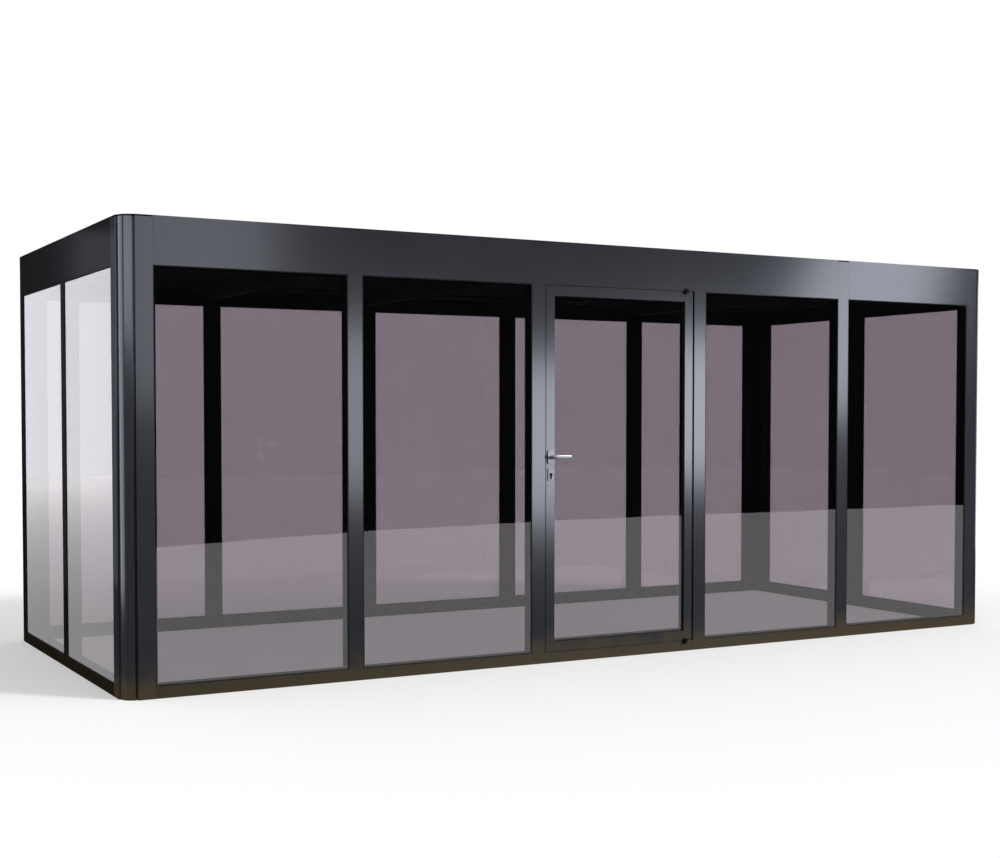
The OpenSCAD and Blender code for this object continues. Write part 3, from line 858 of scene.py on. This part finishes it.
def cut_mesh(shape, cutter, name):
    """A mesh of one bmesh minus another."""
    meshes = []
    for part in (shape, cutter):
        mesh = bpy.data.meshes.new(name)
        part.to_mesh(mesh)
        part.free()
        meshes.append(mesh)
    block, knife = [bpy.data.objects.new(name, mesh) for mesh in meshes]
    for thing in (block, knife):
        scene.collection.objects.link(thing)
    modifier = block.modifiers.new("cut", "BOOLEAN")
    modifier.operation = "DIFFERENCE"
    modifier.object = knife
    graph = bpy.context.evaluated_depsgraph_get()
    made = bpy.data.meshes.new_from_object(block.evaluated_get(graph), depsgraph=graph)
    for thing in (block, knife):
        bpy.data.objects.remove(thing)
    for mesh in meshes:
        bpy.data.meshes.remove(mesh)
    return made


slot_half_w, slot_half_h, slot_d, slot_edge = 1.2 * MM, 5.0 * MM, 5.0 * MM, 0.3 * MM
barrel_edge = 0.6 * MM
lock_low, lock_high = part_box("lock_cylinder")
key_x = (lock_low.x + lock_high.x) / 2
key_z = lock_high.z - (lock_high.x - lock_low.x) / 2
slots = bmesh.new()
for face in (lock_low.y, lock_high.y):
    add_block(slots, (key_x - slot_half_w, face - slot_d, key_z - slot_half_h),
              (key_x + slot_half_w, face + slot_d, key_z + slot_half_h), slot_edge)
barrel = cut_mesh(rounded_copy("lock_cylinder", barrel_edge), slots, "lock_cylinder_slotted")
settle(barrel, "lock_cylinder_slotted", "door", black_brass, ["lock_cylinder"])
print("key slots at x", round(key_x, 4), "z", round(key_z, 4))

# %% [markdown]
# ## Levers
#
# A lever is a round neck that bends into a flat bar with soft edges. A box with a cylinder stuck on
# would miss the bend, so rings are placed along the path, each a superellipse: power 2 is a round neck,
# power 5 a bar with soft edges, and the values in between blend one into the other through the bend.
# The inside lever is the mirror image, with its faces turned the right way round again.

# %% Levers
lever_low, lever_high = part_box("outside_lever")
spindle = Vector(next(j for j in frame["joints"] if j["name"] == "lever_turn")["pos_m"])
neck_r, bar_t, bend_r, spindle_edge = 9.0 * MM, 14.0 * MM, 15.0 * MM, 0.5 * MM
ring_points, bend_steps, round_power, bar_power = 28, 8, 2.0, 5.0
# How many millimetres before the tip a ring stands, and its share of the bar's section
tip_shares = [(6.0, 1.0), (2.5, 0.96), (0.8, 0.86), (0.0, 0.66)]
bar_h = lever_high.z - lever_low.z
bar_y = lever_low.y + bar_t / 2


def lever_rings():
    """Centre, tangent, half width, half height and power of each ring from the neck to the tip."""
    foot = Vector((spindle.x, lever_high.y, spindle.z))
    rings = [(foot, Vector((0.0, -1.0, 0.0)), neck_r, neck_r, round_power)]
    for i in range(bend_steps + 1):
        share = i / bend_steps
        turn = share * math.pi / 2
        along, back = bend_r * (1 - math.cos(turn)), bend_r * (1 - math.sin(turn))
        centre = Vector((spindle.x + along, bar_y + back, spindle.z))
        tangent = Vector((math.sin(turn), -math.cos(turn), 0.0))
        blend = share * share * (3 - 2 * share)
        half_w, half_h = neck_r + (bar_t / 2 - neck_r) * blend, neck_r + (bar_h / 2 - neck_r) * blend
        rings.append((centre, tangent, half_w, half_h, round_power + (bar_power - round_power) * blend))
    for before, scale in tip_shares:
        centre = Vector((lever_high.x - before * MM, bar_y, spindle.z))
        rings.append((centre, Vector((1.0, 0.0, 0.0)), bar_t / 2 * scale, bar_h / 2 * scale, bar_power))
    return rings


def bar_through(rings):
    """A closed smooth bar through the rings."""
    bar = bmesh.new()
    rows = []
    for centre, tangent, half_w, half_h, power in rings:
        side = tangent.cross(Vector((0.0, 0.0, 1.0)))
        row = []
        for k in range(ring_points):
            turn = 2 * math.pi * k / ring_points
            flat, tall = math.cos(turn), math.sin(turn)
            across = math.copysign(abs(flat) ** (2 / power), flat) * half_w
            rise = math.copysign(abs(tall) ** (2 / power), tall) * half_h
            row.append(bar.verts.new(centre + side * across + Vector((0.0, 0.0, rise))))
        rows.append(row)
    join_rows(bar, rows, True)
    bar.faces.new(rows[0])
    bar.faces.new(rows[-1])
    return bar


middle_y = (lever_low.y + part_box("inside_lever")[1].y) / 2
for node in ("outside_lever", "inside_lever"):
    bar = bar_through(lever_rings())
    if node == "inside_lever":
        for vert in bar.verts:
            vert.co.y = 2 * middle_y - vert.co.y
    bmesh.ops.recalc_face_normals(bar, faces=bar.faces)
    settle(bar, node + "_bent", "lever", satin_steel, [node])
settle(rounded_copy("lever_spindle", spindle_edge), "lever_spindle_rounded", "lever", satin_steel,
       ["lever_spindle"])
print("lever:", round((lever_high.x - spindle.x) / MM), "mm long,", round(bar_h / MM), "mm high")

# %% [markdown]
# ## Latch
#
# When the door stands open, its edge shows the lock's faceplate with the latch and the dead bolt, and
# the post shows the strike plate with the two holes that they enter. Plates with round ends are flat
# outlines made thick, and the latch has the slant that lets the door close by itself.

# %% Latch
leaf_edge = leaf_low.x
post_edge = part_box("front_post_2")[1].x
latch_y = (leaf_low.y + leaf_high.y) / 2
plate_z, plate_t, plate_half_w, plate_half_h = spindle.z - 45.0 * MM, 1.5 * MM, 10.0 * MM, 118.0 * MM
bolt_z, bolt_out, bolt_half_w, bolt_half_h, bolt_edge = spindle.z, 5.0 * MM, 6.0 * MM, 9.0 * MM, 0.6 * MM
bolt_tip, bolt_slant = 1.0 * MM, 2.5 * MM
dead_z, dead_out, dead_half_w, dead_half_h = spindle.z - 75.0 * MM, 2.6 * MM, 6.5 * MM, 16.0 * MM
dead_edge, seat = 0.5 * MM, 0.1 * MM
strike_t, strike_shorter = 1.0 * MM, 10.0 * MM
hole_d, hole_half_w, hole_clear, hole_edge = 5.0 * MM, 7.5 * MM, 2.0 * MM, 1.0 * MM


def add_plate(shape, x, thick, half_w, half_h):
    """Adds an upright plate with round ends, x to x + thick, at the latch."""
    rim = []
    for k in range(16):
        turn = math.pi * (k + 0.5) / 16
        rim.append((math.cos(turn) * half_w, half_h - half_w + math.sin(turn) * half_w))
    rim += [(-y, -z) for y, z in rim]
    faces = [[shape.verts.new((at, latch_y + y, plate_z + z)) for y, z in rim] for at in (x, x + thick)]
    join_rows(shape, faces)
    for face in faces:
        shape.faces.new(face)
    bmesh.ops.recalc_face_normals(shape, faces=shape.faces)


def add_bolt(shape, start, stop, z, half_w, half_h, edge):
    """Adds a block from start to stop in x, centred on the plates at height z."""
    add_block(shape, (start, latch_y - half_w, z - half_h), (stop, latch_y + half_w, z + half_h), edge)


latch = bmesh.new()
bolt_root = leaf_edge - plate_t - seat
add_plate(latch, leaf_edge - plate_t, plate_t - 2 * seat, plate_half_w, plate_half_h)
add_bolt(latch, leaf_edge - bolt_out, bolt_root, bolt_z, bolt_half_w, bolt_half_h, bolt_edge)
for vert in latch.verts:
    if vert.co.x < leaf_edge - bolt_out + bolt_tip and vert.co.y > latch_y:
        vert.co.x += bolt_slant
add_bolt(latch, leaf_edge - dead_out, bolt_root, dead_z, dead_half_w, dead_half_h, dead_edge)
settle(latch, "latch_faceplate", "door", satin_steel)

strike = bmesh.new()
add_plate(strike, post_edge + seat, strike_t, plate_half_w, plate_half_h - strike_shorter)
holes = bmesh.new()
for z, half_h in ((bolt_z, bolt_half_h + hole_clear), (dead_z, dead_half_h + hole_clear)):
    add_bolt(holes, post_edge - hole_d, post_edge + hole_d, z, hole_half_w, half_h, hole_edge)
settle(cut_mesh(strike, holes, "strike_plate"), "strike_plate", "house", satin_steel)
print("latch at z", round(bolt_z, 3), "dead bolt at z", round(dead_z, 3))

# %% [markdown]
# ## Screws
#
# Screws hold the flashing, the strips and the plates of the lock, and a small one locks each hinge block.
# One head is made in a Geometry Nodes tree, a low cone with a six-sided socket cut in it, and set on
# points. Each point carries the way out of its surface, and a seeded random turn keeps the sockets from
# lining up, as screws never do.

# %% Screw heads
crown_share, socket_share, height_share, screw_seed = 0.72, 0.42, 0.55, 7
screw_tree, given = new_tree("socket_screw", {"Points": "Geometry", "Head radius": "Float",
                                              "Head height": "Float", "Seed": "Int",
                                              "Finish": "Material"}, "Screws")
crown = add(screw_tree, "ShaderNodeMath", {0: given["Head radius"], 1: crown_share}, operation="MULTIPLY")
dome = add(screw_tree, "GeometryNodeMeshCone", {"Vertices": 16, "Radius Top": crown,
                                                "Radius Bottom": given["Head radius"],
                                                "Depth": given["Head height"]})
key_r = add(screw_tree, "ShaderNodeMath", {0: given["Head radius"], 1: socket_share},
            operation="MULTIPLY")
hexagon = add(screw_tree, "GeometryNodeMeshCylinder", {"Vertices": 6, "Radius": key_r,
                                                       "Depth": given["Head height"]})
rise = add(screw_tree, "ShaderNodeCombineXYZ", {"Z": given["Head height"]})
raised = add(screw_tree, "GeometryNodeTransform", {"Geometry": hexagon, "Translation": rise})
head = add(screw_tree, "GeometryNodeMeshBoolean", {"Mesh 1": dome, "Mesh 2": raised}, operation="DIFFERENCE")
way_out = add(screw_tree, "GeometryNodeInputNamedAttribute", {"Name": "out"}, data_type="FLOAT_VECTOR")
upright = add(screw_tree, "FunctionNodeAlignRotationToVector", {"Vector": way_out}, axis="Z")
chance = add(screw_tree, "FunctionNodeRandomValue", {2: 0.0, 3: math.pi / 3, "Seed": given["Seed"]},
             data_type="FLOAT")
spin = add(screw_tree, "FunctionNodeAxisAngleToRotation", {"Axis": (0.0, 0.0, 1.0),
                                                           "Angle": chance.outputs[1]})
turned = add(screw_tree, "FunctionNodeRotateRotation", {0: upright, 1: spin}, rotation_space="LOCAL")
set_on = add(screw_tree, "GeometryNodeInstanceOnPoints", {"Points": given["Points"], "Instance": head,
                                                          "Rotation": turned})
close_tree(screw_tree, set_on, given)
print("screw tree:", len(screw_tree.nodes), "nodes")

# %% Screws in place
def spaced(start, end, step):
    """Even places from start to end, about a step apart."""
    count = max(1, round((end - start) / step))
    return [start + (end - start) * i / count for i in range(count + 1)]


def screws(name, body, material, places, radius):
    """One mesh of screws from pairs of place and way out."""
    points, ways = zip(*places)
    made = grown(screw_tree, guide(name, points, (), ways),
                 {"Head radius": radius, "Head height": radius * height_share, "Seed": screw_seed,
                  "Finish": material})
    settle(made, name, body, material)
    print(name, len(points), "heads,", len(made.polygons), "faces")


up, front, back = Vector((0.0, 0.0, 1.0)), Vector((0.0, -1.0, 0.0)), Vector((0.0, 1.0, 0.0))
roof_screw_r, hinge_screw_r, plate_screw_r = 7.0 * MM, 2.6 * MM, 2.8 * MM
screw_step, first_x, first_y, flash_mid = 0.36, 0.15, 0.2, flash_w * 0.6
roof_places = []
for x in spaced(inner_low.x + first_x, inner_high.x - first_x, screw_step):
    for y in (inner_low.y + flash_mid, inner_high.y - flash_mid):
        roof_places.append(((x, y, roof_top + flash_t), up))
for y in spaced(inner_low.y + first_y, inner_high.y - first_y, screw_step):
    for x in (inner_low.x + flash_mid, inner_high.x - flash_mid):
        roof_places.append(((x, y, roof_top + flash_t), up))
    for x in joint_xs:
        roof_places.append(((x, y, roof_top + strip_h), up))
screws("roof_screws", "house", black_zinc, roof_places, roof_screw_r)

hinge_x = next(j for j in frame["joints"] if j["name"] == "door_swing")["pos_m"][0]
block_low, block_high = solid_boxes("hinge_leaves")[0]
half_block = (block_high.z - block_low.z) / 2
half_door = (leaf_low.z + leaf_high.z) / 2
for node, body in (("hinge_brackets", "house"), ("hinge_leaves", "door")):
    places = []
    for low, high in solid_boxes(node):
        # The upper bracket's pin hangs below its block, the lower bracket's stands on its block
        pin_below = node == "hinge_brackets" and high.z > half_door
        z = high.z - half_block if pin_below else low.z + half_block
        places.append(((hinge_x, low.y, z), front))
    screws(node + "_screws", body, black_zinc, places, hinge_screw_r)

head_in, foot_in, end_in = 7.0 * MM, 4.7 * MM, 9.0 * MM
plate_low, plate_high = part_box("keyhole_plates")
plate_places = []
for y, way in ((plate_low.y, front), (plate_high.y, back)):
    for z in (plate_high.z - head_in, plate_low.z + foot_in):
        plate_places.append(((key_x, y, z), way))
for z in (plate_z + plate_half_h - end_in, plate_z - plate_half_h + end_in):
    plate_places.append(((leaf_edge - plate_t, latch_y, z), Vector((-1.0, 0.0, 0.0))))
screws("lock_plate_screws", "door", satin_steel, plate_places, plate_screw_r)
